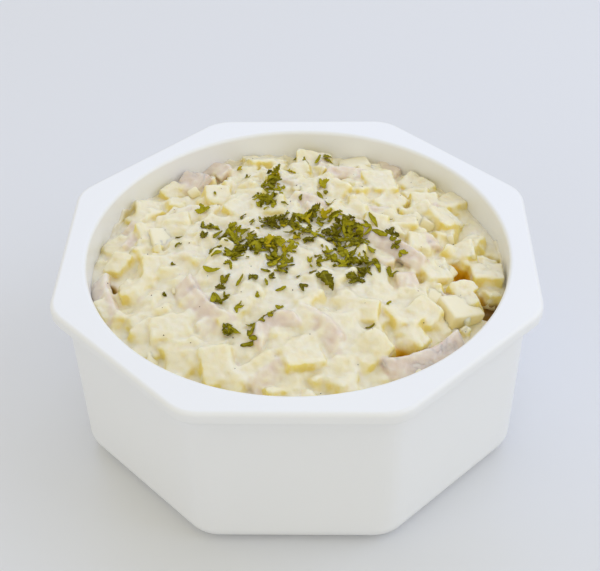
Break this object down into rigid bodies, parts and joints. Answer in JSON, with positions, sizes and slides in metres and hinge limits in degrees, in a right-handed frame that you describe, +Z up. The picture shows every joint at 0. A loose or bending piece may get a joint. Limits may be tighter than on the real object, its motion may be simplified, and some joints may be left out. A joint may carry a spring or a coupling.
{
  "type": "bowl of potato salad",
  "caption": "White octagonal stoneware bowl with a round inside, heaped with diced potato salad in a creamy dressing with strips of cooked ham and chopped parsley.",
  "frame": {"origin": "on the table under the bowl's centre", "axes": "+Z up, -Y towards the front of the picture, +X to its right"},
  "size_m": [0.2, 0.2, 0.0865],
  "materials": {
    "white_glaze": "gloss",
    "creamy_dressing": "satin",
    "boiled_potato": "satin",
    "cooked_ham": "satin",
    "chopped_parsley": "matte",
    "ground_pepper": "matte"
  },
  "bodies": {
    "root": {"bowl": "white_glaze", "potato_salad": "creamy_dressing"}
  },
  "joints": []
}
